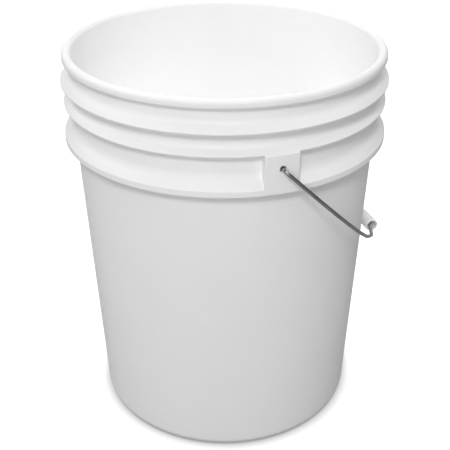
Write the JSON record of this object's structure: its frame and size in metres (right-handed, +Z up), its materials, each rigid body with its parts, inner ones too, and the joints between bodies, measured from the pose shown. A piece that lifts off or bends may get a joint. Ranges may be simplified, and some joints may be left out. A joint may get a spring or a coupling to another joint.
{
  "type": "pail",
  "caption": "Round tapered plastic pail for fermenting, with a beaded rim, three outer rings, two ears, a swinging wire bail and a tubular grip.",
  "frame": {"origin": "centre of the flat face that the foot ring stands on", "axes": "+Z up through the mouth; Y along the bail's pivot axis, through both ears; +X towards the side that the bail hangs on"},
  "size_m": [0.302, 0.3174, 0.37],
  "materials": {
    "white_plastic": "satin white high-density polyethylene, injection moulded",
    "steel_wire": "drawn steel wire with a thin bright zinc coat",
    "grip_plastic": "satin white moulded plastic tube"
  },
  "bodies": {
    "pail": {"bucket": "white_plastic"},
    "bail": {"bail": "steel_wire"},
    "grip": {"grip": "grip_plastic"}
  },
  "joints": [
    {"name": "bail_swing", "type": "hinge", "parent": "pail", "child": "bail", "pos_m": [0, 0, 0.31], "axis": [0, -1, 0], "range_deg": [0, 265.6]},
    {"name": "grip_spin", "type": "hinge", "parent": "bail", "child": "grip", "pos_m": [0.14342, 0, 0.17654], "axis": [0, 1, 0], "continuous": true}
  ]
}
